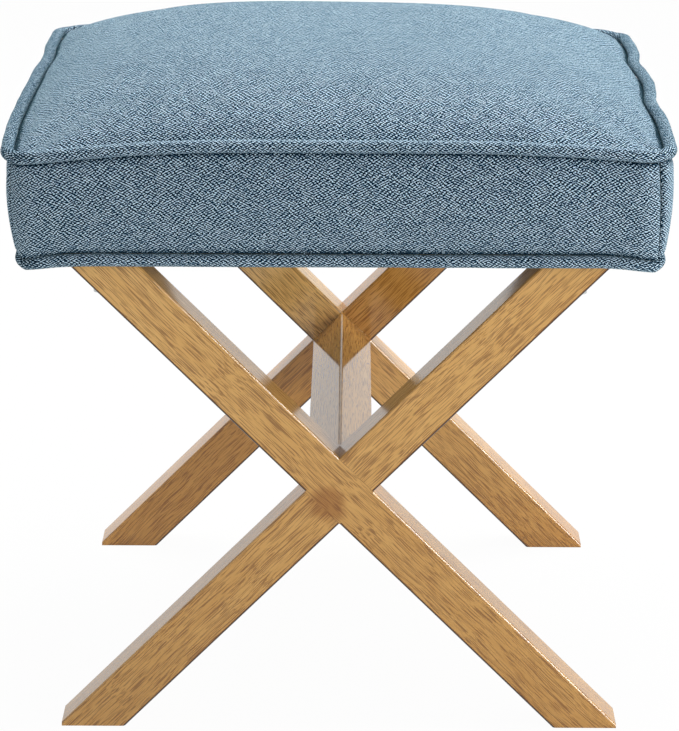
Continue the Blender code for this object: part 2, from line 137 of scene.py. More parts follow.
# Leg line
LEG_RISE = LEG_TOP - CROSS_HEIGHT
LEG_TOP_OUTER = FRAME_HALF - LEG_TOP_INSET
LEG_ANGLE = math.atan2(LEG_RISE, LEG_TOP_OUTER) + math.asin(
    LEG_SIDE / 2 / math.hypot(LEG_RISE, LEG_TOP_OUTER))
LEG_TOP_X = LEG_RISE / math.tan(LEG_ANGLE)
TOE_X = CROSS_HEIGHT / math.tan(LEG_ANGLE) + LEG_SIDE / 2 / math.sin(LEG_ANGLE)
FRAME_Y = FRAME_HALF - LEG_FACE_INSET - LEG_SIDE / 2
DOWEL_HEIGHTS = (CROSS_HEIGHT + DOWEL_SPREAD / 2, CROSS_HEIGHT - DOWEL_SPREAD / 2)
BOLT_SEAT_Z = LEG_TOP - BOLT_LAND
CUT_REACH = 2 * SEAT_WIDTH

# Perimeter of the seat: a core square, from which every layer is pushed out along the normal
CORNER_ARC = (PANEL_HALF - CORE_HALF) * math.pi / 4
STRAIGHT_SHARE = CORE_HALF / (CORE_HALF + CORNER_ARC)

# Sewing: the cover sits a little twisted, so its corner seams lie past the corners, in shares of half
# a side, at the bottom and the top: front left, front right, rear right, rear left
SEAM_SLIPS = ((0.030, 0.030), (-0.004, 0.016), (0.0, 0.008), (0.0, 0.008))
SEAM_TURN = 0.003
SEAM_TURN_WIDTH = 0.0013
RIM_HUG = math.radians(215)
SEAM_HOLLOW = 0.008
EDGE_TURN = 0.0028
EDGE_TURN_WIDTH = 0.0018
CORNER_FILL_LOW = 0.0032
CORNER_FILL_HIGH = (0.0, 0.0042, 0.0, 0.0)
CORNER_FILL_START = 0.86
STITCH_PITCH = 0.005
STITCH_LENGTH = 0.0018
STITCH_RADIUS = 0.0004
STITCH_SINK = 0.0018

# Corners of the top piping settle unevenly: front left, front right, rear right, rear left
CORNER_SETTLE = (-0.0032, 0.0, 0.0, 0.003)
# Where the top piping wanders: side (0 front, 1 right, 2 rear, 3 left), step, spread, outwards
SWAYS = (
    (1, 0.32, 0.16, -0.0036), (1, -0.37, 0.15, -0.0036), (1, -0.02, 0.10, 0.0008),
    (3, -0.38, 0.20, -0.0028), (3, 0.66, 0.16, 0.0009), (3, 0.05, 0.12, -0.0006),
    (2, -0.30, 0.20, -0.0015), (2, 0.45, 0.18, -0.0012), (0, -0.35, 0.25, -0.0005),
)
# The tubes shake a little on their way: how far, how often along a side, and apart by side and height
TUBE_WANDER = 0.0004
WANDER_RATE = 9
WANDER_BY_SIDE = 5
WANDER_BY_HEIGHT = 40
# The cushion leans a little to the left on its base
CUSHION_LEAN = -0.0012

# Oak: layers of its figure, with length along the grain, width, detail and share of the tone. Real pores
# are about 0.3 mm wide; these are drawn twice as wide, or they would be too fine to show
OAK_LAYERS = (
    ("pores", 0.026, 0.0006, 0.0, 0.0), ("fine", 0.015, 0.0005, 0.0, 0.12),
    ("streaks", 0.060, 0.0030, 2.0, 0.06), ("bands", 0.120, 0.009, 2.0, 0.3),
    ("clouds", 0.020, 0.012, 3.0, 0.1),
)
OAK_TONES = (-0.11, 0.69)
GRAIN_FLOW = 0.005
GRAIN_FLOW_SIZE = 0.0625
PORE_EDGE = (0.42, 0.34)
FINE_PORE_EDGE = (0.40, 0.32)
FINE_PORE_SHARE = 0.9
PORE_SHADE = 0.62
PORE_DEPTH = 0.0002
# Painted shade along the lower rounded edges, within this reach
ARRIS_SHADE_TONE = -1.0
ARRIS_SHADE_START = -0.6
ARRIS_REACH = 0.0013
ARRIS_SHADE = 0.9
# A darker patch of wood below the front crossing
STAIN_PLACE = (-0.008, -0.215, 0.168)
STAIN_SIZE = 0.017
STAIN_EDGE = (STAIN_SIZE * 1.5, STAIN_SIZE * 0.9)
STAIN_SHADE = 0.8
# Each board's tone at its two ends, and where in the figure it is cut from. The rear inner leg is
# painted lighter at its top, where the seat's shadow falls
BOARDS = {
    "front_leg_outer_lap": ((0.20, -0.04), (1.3, 0.1, 0.0)),
    "front_leg_inner_lap": ((0.04, 0.15), (6.3, 0.6, 0.3)),
    "rear_leg_outer_lap": ((-0.14, -0.15), (2.2, 0.1, 0.0)),
    "rear_leg_inner_lap": ((-0.13, 0.66), (7.2, 0.6, 0.3)),
    "stretcher": ((0.0, 0.0), (3.1, 0.4, 0.2)),
}

# Sawn woods, pale and matt with growth lines: name, colours, axis along the grain, length and width of
# the lines, roughness
SAWN_FIBRE = 0.2
SAWN_FIBRE_SHARE = 0.4
SAWN_TONES = (0.45, 0.95)
SAWN_DEPTH = 0.0003
PINE = ("#c79a5c", "#e6c893")
SAWN = {
    "pine_x": ("sawn_pine_across", PINE, 0, 0.12, 0.004, 0.8),
    "pine_y": ("sawn_pine_along", PINE, 1, 0.12, 0.004, 0.8),
    "plywood": ("birch_plywood", ("#d2ab74", "#ecd0a0"), 0, 0.08, 0.003, 0.75),
    "beech": ("turned_beech", ("#c39a6e", "#dcb98c"), 1, 0.02, 0.001, 0.7),
}

# Even materials: name, colours, size of the grain, roughness, depth of the grain, metallic
EVEN_CLOUD = 10
EVEN_CLOUD_SHARE = 0.5
EVEN_TONES = (0.5, 1.0)
EVEN_SHINE = 0.08
EVEN = {
    # Cut foam: open cells, cream, no shine
    "foam": ("cut_polyether_foam", ("#cfc08c", "#f1e7bf"), 0.0012, 0.9, 0.0006),
    # Bonded wadding: loose white fibre, no shine
    "wadding": ("bonded_polyester_wadding", ("#d9dcdd", "#fafafa"), 0.002, 0.9, 0.001),
    # Twisted cotton: pale and dull
    "cord": ("twisted_cotton_cord", ("#c9bfa4", "#efe8d4"), 0.0008, 0.9, 0.0003),
    # Spun polyester: fine, with a soft shine
    "thread": ("polyester_sewing_thread", ("#8fa6b5", "#c4d6e0"), 0.0004, 0.6, 0.0001),
    # Spunbond cloth: black, papery, matt
    "cambric": ("spunbond_black_cambric", ("#131314", "#2c2d2f"), 0.0009, 0.9, 0.0002),
    # Zinc plate: grey crystals with a blurred shine
    "zinc": ("zinc_plated_steel", ("#a9adb0", "#d2d4d2"), 0.0015, 0.34, 0.0001, 1.0),
}

# CAD nodes that stay: a word of the name and the finish; the first word that fits counts
STAYING = {
    "dowel": "beech", "bolt": "zinc", "washer": "zinc", "nut": "zinc", "left_rail": "pine_y",
    "right_rail": "pine_y", "_rail": "pine_x", "corner_block": "pine_x", "seat_deck": "plywood",
}
# Slots that aren't named as their finish is, and the finishes by name, which main makes
FINISHES = {}

# Tweed: fleck size, how far flecks climb in a band and their share of the tone, how far rows wander,
# patches of one hand, and the other layers of its tone
FLECK_PITCH = 0.00343
BAND_PITCH = 0.00343
FLECK_CLIMBS = ((1, 0.4), (-2, 0.8))
HAND_PATCH = 0.009
WEAVE_DRIFT = 0.0004
WEAVE_DRIFT_SIZE = 0.007
FIBRE = 0.001
MOTTLE = 0.03
FIBRE_SHARE = 0.9
MID_TONE = 0.27
MOTTLE_SHARE = 0.12
# How far the painted light and shade of each point moves the tone
PAINTED_LIGHT_SCALE = -0.12
WEAVE_DEPTH = 0.0003
# Painted shade beside the seams and in the grooves by the piping, where the cloth creases
CREASE_SHADE = 8.0
CREASE_WIDTH = 0.0017
SEAM_CREASE_WIDTH = 0.0011
SEAM_SHARE = 0.8
GROOVE_SHARE = 1.6
# Painted shade along the sides of the piping
SIDE_SHADE = 1.6
# Painted light on the sides of the box, and along the left of the top
SIDE_LIGHT = 2.4
LEFT_LIGHT = 2.0
LEFT_LIGHT_START = 0.6
# Painted highlight on the top of the front piping
CREST_HIGHLIGHT = 2.2
CREST_HIGHLIGHT_START = 0.75
CREST_HIGHLIGHT_POWER = 4
# On the top the weave is drawn longer from front to rear than it is, or it would be too fine to show
WEAVE_LENGTH_NEAR = 1.05
WEAVE_LENGTH_FAR = 2.7

# Cells of the meshes
STRAIGHT_CELLS = 48
CORNER_CELLS = 11
BOXING_LEVELS = (0.0, 0.013, 0.03, 0.06) + tuple(0.06 + 0.88 * i / 12 for i in range(1, 12)) + (
    0.94, 0.97, 0.987, 1.0)
WELT_SIDES = 18
CORD_SIDES = 24
PADDING_CELLS = 16
PADDING_CORNER_CELLS = 3
WADDING_LEVELS = 6
DUST_COVER_CELLS = 28

# Padding pushes the cover out between its seams
SIM_FRAMES = 20
SIM_CLOTH = {
    "quality": 6, "tension_stiffness": 40, "compression_stiffness": 40, "shear_stiffness": 15,
    "bending_stiffness": 2, "use_pressure": True, "uniform_pressure_force": 4.0,
    "vertex_group_mass": "seams",
}
TOP_REACH = 0.0016
BOXING_REACH = 0.0022
TOP_SWELL = 0.0013
# The crown before it is pushed out
CROWN_BEFORE = CROWN - TOP_SWELL

# Stage: light of the room, how white the floor shows, its reach, and lamps with place, target, width,
# height and power. The edge lamp only shows as shine
ROOM_LIGHT = 0.4
FLOOR_GLOW = 0.97
FLOOR_REACH = 8.0
LAMPS = {
    "soft_top": ((0.3, 0.9, 2.3), (0, 0, 0.4), 1.8, 1.8, 63),
    "soft_right": ((2.0, -0.2, 1.5), (0, 0, 0.3), 1.2, 1.2, 11),
    "soft_front": ((1.6, -1.5, 0.7), (0, 0, 0.3), 1.2, 0.9, 15.5),
    "edge_right": ((2.2, -0.85, 1.55), (0, -0.2, 0.2), 1.2, 1.2, 90),
}


def colour(code):
    """An sRGB hex value as linear RGBA."""
    parts = [int(code[i:i + 2], 16) / 255 for i in (1, 3, 5)]
    return [c / 12.92 if c <= 0.04045 else ((c + 0.055) / 1.055) ** 2.4 for c in parts] + [1.0]


def add(tree, kind, inputs=None, stops=(), **settings):
    """Add one shader node with its settings, values and links; stops fill a colour ramp."""
    made = tree.nodes.new("ShaderNode" + kind)
    for name, value in settings.items():
        setattr(made, name, value)
    for socket, value in (inputs or {}).items():
        if isinstance(value, bpy.types.NodeSocket):
            tree.links.new(value, made.inputs[socket])
        else:
            made.inputs[socket].default_value = value
    for place, (position, code) in enumerate(stops):
        ramp = made.color_ramp.elements
        stop = ramp[place] if place < 2 else ramp.new(position)
        stop.position = position
        stop.color = colour(code)
    return made.outputs


def new_finish(name):
    finish = bpy.data.materials.new(name)
    finish.use_nodes = True
    finish.node_tree.nodes.clear()
    return finish, finish.node_tree


def tweed_finish():
    """Wool-blend tweed, a broken twill: slanted pale flecks of weft over dark slate warp, their hand
    changing from patch to patch, so it reads as small chevrons; matt, with a weak bloom of fibre."""
    finish, tree = new_finish("woven_blue_tweed")
    flat = add(tree, "UVMap", uv_map="cloth")[0]
    painted_light = add(tree, "Attribute", attribute_name="painted_light")["Fac"]
    wander = add(tree, "TexNoise", {"Vector": flat, "Scale": 1 / WEAVE_DRIFT_SIZE, "Detail": 1.0},
                 noise_dimensions="2D")["Color"]
    thread = add(tree, "VectorMath", {0: wander, 1: (WEAVE_DRIFT, WEAVE_DRIFT, 0), 2: flat},
                 operation="MULTIPLY_ADD")[0]
    place = add(tree, "SeparateXYZ", {0: thread})
    bands = add(tree, "Math", {0: place["Y"], 1: 1 / BAND_PITCH}, operation="MULTIPLY")[0]
    climb = add(tree, "Math", {0: bands}, operation="FRACT")[0]
    stand = add(tree, "VectorMath", {0: thread, 1: (FLECK_PITCH, BAND_PITCH, 1)}, operation="SNAP")[0]
    patch = add(tree, "TexNoise", {"Vector": stand, "Scale": 1 / HAND_PATCH, "Detail": 1.0},
                noise_dimensions="2D")[0]
    right = add(tree, "Math", {0: patch, 1: 0.5}, operation="GREATER_THAN")[0]
    hand = add(tree, "MapRange", {0: right, 3: -1.0, 4: 1.0})[0]
    slant = add(tree, "Math", {0: climb, 1: hand}, operation="MULTIPLY")[0]
    # The tone starts from the painted light and shade stored at each point
    tone_and_shade = add(tree, "Math", {0: painted_light, 1: PAINTED_LIGHT_SCALE, 2: MID_TONE}, operation="MULTIPLY_ADD")[0]
    for climbs, share in FLECK_CLIMBS:
        lean = add(tree, "Math", {0: slant, 1: climbs}, operation="MULTIPLY")[0]
        turns = add(tree, "Math", {0: place["X"], 1: 1 / FLECK_PITCH, 2: lean}, operation="MULTIPLY_ADD")[0]
        angle = add(tree, "Math", {0: turns, 1: 2 * math.pi}, operation="MULTIPLY")[0]
        fleck = add(tree, "Math", {0: angle}, operation="COSINE")[0]
        tone_and_shade = add(tree, "Math", {0: fleck, 1: share, 2: tone_and_shade}, operation="MULTIPLY_ADD")[0]
    cells = add(tree, "VectorMath", {0: thread, 1: (1 / FIBRE, 1 / FIBRE, 0)}, operation="MULTIPLY")[0]
    cell = add(tree, "VectorMath", {0: cells}, operation="FLOOR")[0]
    for across, along in ((0, 0), (1, 0), (0, 1), (1, 1)):
        near = add(tree, "VectorMath", {0: cell, 1: (across, along, 0)}, operation="ADD")[0]
        fibre = add(tree, "TexWhiteNoise", {"Vector": near}, noise_dimensions="2D")[0]
        share = FIBRE_SHARE if across == along else -FIBRE_SHARE
        tone_and_shade = add(tree, "Math", {0: fibre, 1: share, 2: tone_and_shade}, operation="MULTIPLY_ADD")[0]
    mottle = add(tree, "TexNoise", {"Vector": flat, "Scale": 1 / MOTTLE, "Detail": 2.0},
                 noise_dimensions="2D")[0]
    tone_and_shade = add(tree, "Math", {0: mottle, 1: MOTTLE_SHARE, 2: tone_and_shade}, operation="MULTIPLY_ADD")[0]
    level = add(tree, "MapRange", {0: tone_and_shade, 1: MOTTLE_SHARE / 2, 2: MOTTLE_SHARE / 2 + 1})[0]
    shade = add(tree, "ValToRGB", {0: level}, stops=(
        (0.0, "#001424"), (1.0, "#d4edfc"), (0.2, "#022039"), (0.4, "#224b67"), (0.6, "#577d97"),
        (0.8, "#96b4c9")))[0]
    relief = add(tree, "Bump", {"Height": fleck, "Strength": 0.2, "Distance": WEAVE_DEPTH})[0]
    surface = add(tree, "BsdfPrincipled", {
        "Base Color": shade, "Normal": relief, "Roughness": 0.95, "Specular IOR Level": 0.0,
        "Sheen Weight": 0.15, "Sheen Roughness": 0.5, "Sheen Tint": colour("#a8e4f4")})[0]
    add(tree, "OutputMaterial", {"Surface": surface})
    return finish


def oak_finish():
    """Oak, planed, honey stained and lacquered: short fine pores along the grain under broad tone
    bands, a clear glossy coat that mirrors the room at low angles, and painted shade along its lower
    edges."""
    finish, tree = new_finish("lacquered_honey_oak")
    grain = add(tree, "Attribute", attribute_name="grain")["Vector"]
    tone_and_shade = add(tree, "Attribute", attribute_name="tone_and_shade")["Fac"]
    flow = add(tree, "TexNoise", {"Vector": grain, "Scale": 1 / GRAIN_FLOW_SIZE, "Detail": 1.0})["Color"]
    flowing = add(tree, "VectorMath", {0: flow, 1: (0, GRAIN_FLOW, GRAIN_FLOW), 2: grain},
                  operation="MULTIPLY_ADD")[0]
    layers, mixed = {}, tone_and_shade
    for name, length, width, detail, share in OAK_LAYERS:
        stretched = add(tree, "VectorMath", {0: flowing, 1: (1 / length, 1 / width, 1 / width)},
                        operation="MULTIPLY")[0]
        layers[name] = add(tree, "TexNoise", {"Vector": stretched, "Scale": 1.0, "Detail": detail})[0]
        if share:
            mixed = add(tree, "Math", {0: layers[name], 1: share, 2: mixed}, operation="MULTIPLY_ADD")[0]
    level = add(tree, "MapRange", {0: mixed, 1: OAK_TONES[0], 2: OAK_TONES[1]})[0]
    board = add(tree, "ValToRGB", {0: level}, stops=(
        (0.0, "#a16a24"), (1.0, "#f0c379"), (0.35, "#c99247"), (0.7, "#deac62")))[0]
    place = add(tree, "TexCoord")["Object"]
    away = add(tree, "VectorMath", {0: place, 1: STAIN_PLACE}, operation="DISTANCE")["Value"]
    ragged = add(tree, "Math", {0: layers["clouds"], 1: STAIN_SIZE, 2: away}, operation="MULTIPLY_ADD")[0]
    stain = add(tree, "MapRange", {0: ragged, 1: STAIN_EDGE[0], 2: STAIN_EDGE[1], 4: STAIN_SHADE},
                interpolation_type="SMOOTHSTEP")[0]
    stained = add(tree, "Mix", {0: stain, 6: board, 7: colour("#a96f2c")}, data_type="RGBA")[2]
    long_pore = add(tree, "MapRange", {0: layers["pores"], 1: PORE_EDGE[0], 2: PORE_EDGE[1]})[0]
    fine_pore = add(tree, "MapRange", {
        0: layers["fine"], 1: FINE_PORE_EDGE[0], 2: FINE_PORE_EDGE[1], 4: FINE_PORE_SHARE})[0]
    pore = add(tree, "Math", {0: long_pore, 1: fine_pore}, operation="MAXIMUM")[0]
    depth = add(tree, "MapRange", {0: pore, 4: PORE_SHADE})[0]
    grained = add(tree, "Mix", {0: depth, 6: stained, 7: colour("#6a3406")}, data_type="RGBA")[2]
    # Painted shade along the lower rounded edges, read from the tone attribute, in a dark brown
    edge_shade = add(tree, "MapRange", {0: tone_and_shade, 1: ARRIS_SHADE_START, 2: ARRIS_SHADE_TONE, 4: ARRIS_SHADE})[0]
    shade = add(tree, "Mix", {0: edge_shade, 6: grained, 7: colour("#241002")}, data_type="RGBA")[2]
    relief = add(tree, "Bump", {"Height": pore, "Strength": 0.3, "Distance": PORE_DEPTH}, invert=True)[0]
    surface = add(tree, "BsdfPrincipled", {
        "Base Color": shade, "Normal": relief, "Roughness": 0.5, "Specular IOR Level": 0.0,
        "Coat Weight": 1.0, "Coat Roughness": 0.10, "Coat IOR": 1.5})[0]
    add(tree, "OutputMaterial", {"Surface": surface})
    return finish


def sawn_finish(name, codes, length_axis, length, width, roughness):
    """Bare softwood, ply or dowel, sawn: pale, matt, with growth lines along one axis."""
    finish, tree = new_finish(name)
    place = add(tree, "TexCoord")["Object"]
    stretch = [1 / width] * 3
    stretch[length_axis] = 1 / length
    stretched = add(tree, "VectorMath", {0: place, 1: stretch}, operation="MULTIPLY")[0]
    lines = add(tree, "TexNoise", {"Vector": stretched, "Scale": 1.0, "Detail": 3.0})[0]
    fibres = add(tree, "TexNoise", {"Vector": stretched, "Scale": 1 / SAWN_FIBRE, "Detail": 2.0})[0]
    both = add(tree, "Math", {0: fibres, 1: SAWN_FIBRE_SHARE, 2: lines}, operation="MULTIPLY_ADD")[0]
    level = add(tree, "MapRange", {0: both, 1: SAWN_TONES[0], 2: SAWN_TONES[1]})[0]
    shade = add(tree, "ValToRGB", {0: level}, stops=((0.0, codes[0]), (1.0, codes[1])))[0]
    relief = add(tree, "Bump", {"Height": both, "Strength": 0.3, "Distance": SAWN_DEPTH})[0]
    surface = add(tree, "BsdfPrincipled", {
        "Base Color": shade, "Normal": relief, "Roughness": roughness})[0]
    add(tree, "OutputMaterial", {"Surface": surface})
    return finish


def grained_finish(name, codes, size, roughness, depth, metallic=0.0):
    """An even material with a fine grain: foam cells, wadding fibre, cord, cambric or zinc crystals."""
    finish, tree = new_finish(name)
    place = add(tree, "TexCoord")["Object"]
    cells = add(tree, "TexNoise", {"Vector": place, "Scale": 1 / size, "Detail": 3.0})[0]
    clouds = add(tree, "TexNoise", {"Vector": place, "Scale": 1 / size / EVEN_CLOUD, "Detail": 2.0})[0]
    both = add(tree, "Math", {0: clouds, 1: EVEN_CLOUD_SHARE, 2: cells}, operation="MULTIPLY_ADD")[0]
    level = add(tree, "MapRange", {0: both, 1: EVEN_TONES[0], 2: EVEN_TONES[1]})[0]
    shade = add(tree, "ValToRGB", {0: level}, stops=((0.0, codes[0]), (1.0, codes[1])))[0]
    matt = add(tree, "MapRange", {0: cells, 3: roughness - EVEN_SHINE, 4: roughness + EVEN_SHINE})[0]
    relief = add(tree, "Bump", {"Height": cells, "Strength": 0.5, "Distance": depth})[0]
    surface = add(tree, "BsdfPrincipled", {
        "Base Color": shade, "Normal": relief, "Roughness": matt, "Metallic": metallic})[0]
    add(tree, "OutputMaterial", {"Surface": surface})
    return finish


def as_mesh(name, shape, smooth=False):
    """Turn a shape that is done into a mesh."""
    mesh = bpy.data.meshes.new(name)
    shape.to_mesh(mesh)
    shape.free()
    if smooth:
        mesh.shade_smooth()
    return mesh


def add_wall(piece, thickness):
    """Give a sheet its thickness, on its inner side."""
    wall = piece.modifiers.new("wall", "SOLIDIFY")
    wall.thickness = thickness
    wall.offset = -1


def add_item(name, data):
    item = bpy.data.objects.new(name, data)
    bpy.context.scene.collection.objects.link(item)
    return item


def dress(piece, finish):
    """Give a piece its finish."""
    piece.data.materials.clear()
    piece.data.materials.append(FINISHES[finish])


def add_piece(name, mesh, finish):
    piece = add_item(name, mesh)
    dress(piece, finish)
    return piece


def bake(piece):
    """Turn a piece's modifiers into its own mesh."""
    view = bpy.context.evaluated_depsgraph_get()
    made = bpy.data.meshes.new_from_object(piece.evaluated_get(view))
    piece.modifiers.clear()
    old = piece.data
    piece.data = made
    bpy.data.meshes.remove(old)


# Seat geometry


def perimeter(quarter, step):
    """A place on the core square, the way out from it, its side and its step there.
    Step runs from corner (-1) to corner (1), and past them on to the next side."""
    while step > 1:
        quarter, step = quarter + 1, step - 2
    while step < -1:
        quarter, step = quarter - 1, step + 2
    along = max(-1.0, min(1.0, step / STRAIGHT_SHARE)) * CORE_HALF
    past = max(0.0, abs(step) - STRAIGHT_SHARE) / (1 - STRAIGHT_SHARE)
    angle = math.copysign(past * math.pi / 4, step)
    turn = Matrix.Rotation(quarter * math.pi / 2, 3, "Z")
    core = turn @ Vector((along, -CORE_HALF, 0))
    outward = turn @ Vector((math.sin(angle), -math.cos(angle), 0))
    return core, outward, quarter % 4, step


def corner_dip(step, start=DIP_START):
    """From 0 at start to 1 at the corner."""
    return max(0.0, (abs(step) - start) / (1 - start)) ** 2


def top_sag(quarter, step):
    """How far the top piping lies above its drawn height: below it at the corners."""
    corner = (quarter + (step > 0)) % 4
    return (CORNER_SETTLE[corner] - CORNER_DIP_TOP) * corner_dip(step)


def sway(quarter, step):
    """How far the top piping wanders outwards."""
    return CUSHION_LEAN * perimeter(quarter, step)[1].x + sum(
        size * math.exp(-((step - place) / spread) ** 2)
        for side, place, spread, size in SWAYS if side == quarter)


def side_steps(straight=STRAIGHT_CELLS, corner=CORNER_CELLS):
    """Steps along one side, closer together round its corners."""
    middle = [STRAIGHT_SHARE * (2 * i / straight - 1) for i in range(straight + 1)]
    ends = [STRAIGHT_SHARE + (1 - STRAIGHT_SHARE) * (i + 1) / corner for i in range(corner)]
    return [-step for step in reversed(ends)] + middle + ends


def around(steps):
    """The same steps on all four sides, each corner once."""
    return [(quarter, step) for quarter in range(4) for step in steps[:-1]]


def crown_point(across, along, half, sink):
    """A point of the crowned top; across and along run from -1 to 1."""
    ring = max(abs(across), abs(along))
    if ring == 0:
        return Vector((0, 0, TOP_WELT_Z - sink + CROWN_BEFORE))
    if abs(along) >= abs(across):
        quarter, step = (0, across / ring) if along < 0 else (2, -across / ring)
    else:
        quarter, step = (1, along / ring) if across > 0 else (3, -along / ring)
    core, outward, quarter, step = perimeter(quarter, step)
    point = (core + outward * (half - CORE_HALF + sway(quarter, step) * ring ** DIP_FADE)) * ring
    rise = ((1 - abs(across) ** CROWN_POWER) * (1 - abs(along) ** CROWN_POWER)) ** SHOULDER_POWER
    rise *= 1 - CROWN_TILT * across
    point.z = TOP_WELT_Z - sink + CROWN_BEFORE * rise + top_sag(quarter, step) * ring ** DIP_FADE
    return point


def boxing_point(quarter, step, share, inset=0.0):
    """A point of the cover's side between the bottom (0) and the top (1) piping."""
    core, outward, quarter, step = perimeter(quarter, step)
    half = BOXING_BOTTOM_HALF + (BOXING_TOP_HALF - BOXING_BOTTOM_HALF) * share
    half += BOXING_BULGE * math.sin(math.pi * share) + sway(quarter, step) * share
    full = corner_dip(step, CORNER_FILL_START)
    filled = full * CORNER_FILL_HIGH[(quarter + (step > 0)) % 4]
    past_welt = filled - EDGE_TURN * (1 - full)
    low = BOTTOM_WELT_Z + WELT_RADIUS + GAP - CORNER_DIP_BOTTOM * corner_dip(step, BOTTOM_DIP_START)
    high = TOP_WELT_Z - math.sqrt((WELT_RADIUS + GAP) ** 2 - past_welt ** 2) + top_sag(quarter, step)
    near_edge = min(share, 1 - share) * (high - low)
    half -= EDGE_TURN * (1 - full) * math.exp(-(near_edge / EDGE_TURN_WIDTH) ** 2)
    half += full * CORNER_FILL_LOW * (1 - share) ** 2 + filled * share ** 2
    point = core + outward * (half - inset - CORE_HALF)
    point.z = low + (high - low) * share
    return point


def seam_slip(corner, share):
    """How far a corner seam lies past its corner, by height."""
    low, high = SEAM_SLIPS[corner % 4]
    return low + (high - low) * share


def slipped(quarter, step, share):
    """Where a step of one side's cloth lies, between its slipped seams."""
    left, right = seam_slip(quarter, share), seam_slip(quarter + 1, share)
    return step - (left * (1 - step) + right * (1 + step)) / 2


def seam_turn(quarter, step, share, width=SEAM_TURN_WIDTH):
    """How far the cover turns in near the corner seams."""
    left, right = slipped(quarter, -1, share), slipped(quarter, 1, share)
    from_seam = min(abs(right - step), abs(step - left)) * (CORE_HALF + CORNER_ARC)
    return SEAM_TURN * math.exp(-(from_seam / width) ** 2)


# Cloth pieces


def run(points):
    """Distance of each point from the first, along the line they make."""
    total = [0.0]
    for first, second in zip(points, points[1:]):
        total.append(total[-1] + (second - first).length)
    return total


def lengths(points):
    """The same from the middle point."""
    total = run(points)
    middle = total[len(total) // 2]
    return [length - middle for length in total]


def cloth_mesh(name, rows, flats, ring=False, tube=False):
    """Quads between rows of points; flats gives each point's place on the cut cloth. A ring closes
    each row on itself and a tube closes the last row on the first, and flats goes one further."""
    count, levels = len(rows[0]), len(rows)
    faces, places = [], []
    for level in range(levels if tube else levels - 1):
        for i in range(count if ring else count - 1):
            corners = ((level, i), (level, i + 1), (level + 1, i + 1), (level + 1, i))
            faces.append([r % levels * count + c % count for r, c in corners])
            places += [flats[r][c] for r, c in corners]
    mesh = bpy.data.meshes.new(name)
    mesh.from_pydata([point for row in rows for point in row], [], faces)
    layer = mesh.uv_layers.new(name="cloth")
    for place, corner in zip(places, layer.data):
        corner.uv = place
    mesh.shade_smooth()
    return mesh


def mark_painted_light(mesh, amounts):
    """Store the painted light and shade of the cloth at each point: above 0 is shade, below 0 is light."""
    painted_light = mesh.attributes.new("painted_light", "FLOAT", "POINT").data
    for place, amount in zip(painted_light, amounts):
        place.value = amount


def painted_crease(distance, width):
    """Painted shade of a crease, by distance from its seam."""
    return CREASE_SHADE * math.exp(-(distance / width) ** 2)


def rim_points(rows, columns):
    """Numbers of the points along a grid's four edges."""
    return [r * columns + c for r in range(rows) for c in range(columns)
            if r in (0, rows - 1) or c in (0, columns - 1)]


def face_outwards(mesh, face, way):
    """Turn a sheet over if one of its faces looks the wrong way."""
    if mesh.polygons[face].normal.dot(way) < 0:
        mesh.flip_normals()


def thicken(piece):
    """Smooth a sheet and give it the cloth's thickness on its inner side."""
    smooth = piece.modifiers.new("smooth", "SUBSURF")
    smooth.levels = smooth.render_levels = 1
    smooth.boundary_smooth = "PRESERVE_CORNERS"
    add_wall(piece, FABRIC)


def drawn_length(from_front, depth):
    """Length of cloth that the weave is drawn to on the top, by distance from its front edge."""
    growth = WEAVE_LENGTH_FAR / WEAVE_LENGTH_NEAR - 1
    return depth / (WEAVE_LENGTH_NEAR * growth) * math.log(1 + growth * from_front / depth)


def top_panel():
    """Crowned panel, its edge turned down behind the piping."""
    steps = side_steps()
    spread = 1 / steps[-2]
    hug = WELT_RADIUS + GAP
    rim_half, rim_sink = TOP_WELT_HALF + hug * math.cos(RIM_HUG), -hug * math.sin(RIM_HUG)

    def place(across, along):
        if max(abs(across), abs(along)) == 1:
            return crown_point(across, along, rim_half, rim_sink)
        return crown_point(across * spread, along * spread, PANEL_HALF, 0)

    # Painted shade in the groove along the side piping, and painted light along the left of the top
    def painted_level(across, along):
        to_side = (1 - abs(across * spread)) * TOP_WELT_HALF
        groove_shade = GROOVE_SHARE * painted_crease(to_side, CREASE_WIDTH) if abs(across) > abs(along) else 0.0
        return groove_shade - LEFT_LIGHT * max(0.0, -across - LEFT_LIGHT_START)

    rows = [[place(across, along) for across in steps] for along in steps]
    across = [lengths(row) for row in rows]
    along = [run(column) for column in zip(*rows)]
    count = range(len(steps))
    flats = [[(across[r][c], drawn_length(along[c][r], along[c][-1])) for c in count] for r in count]
    mesh = cloth_mesh("top_panel_cover", rows, flats)
    mark_painted_light(mesh, [painted_level(across, along) for along in steps for across in steps])
    face_outwards(mesh, len(mesh.polygons) // 2, UP)
    piece = add_piece("top_panel_cover", mesh, "tweed")
    return piece, rim_points(len(steps), len(steps)), TOP_REACH


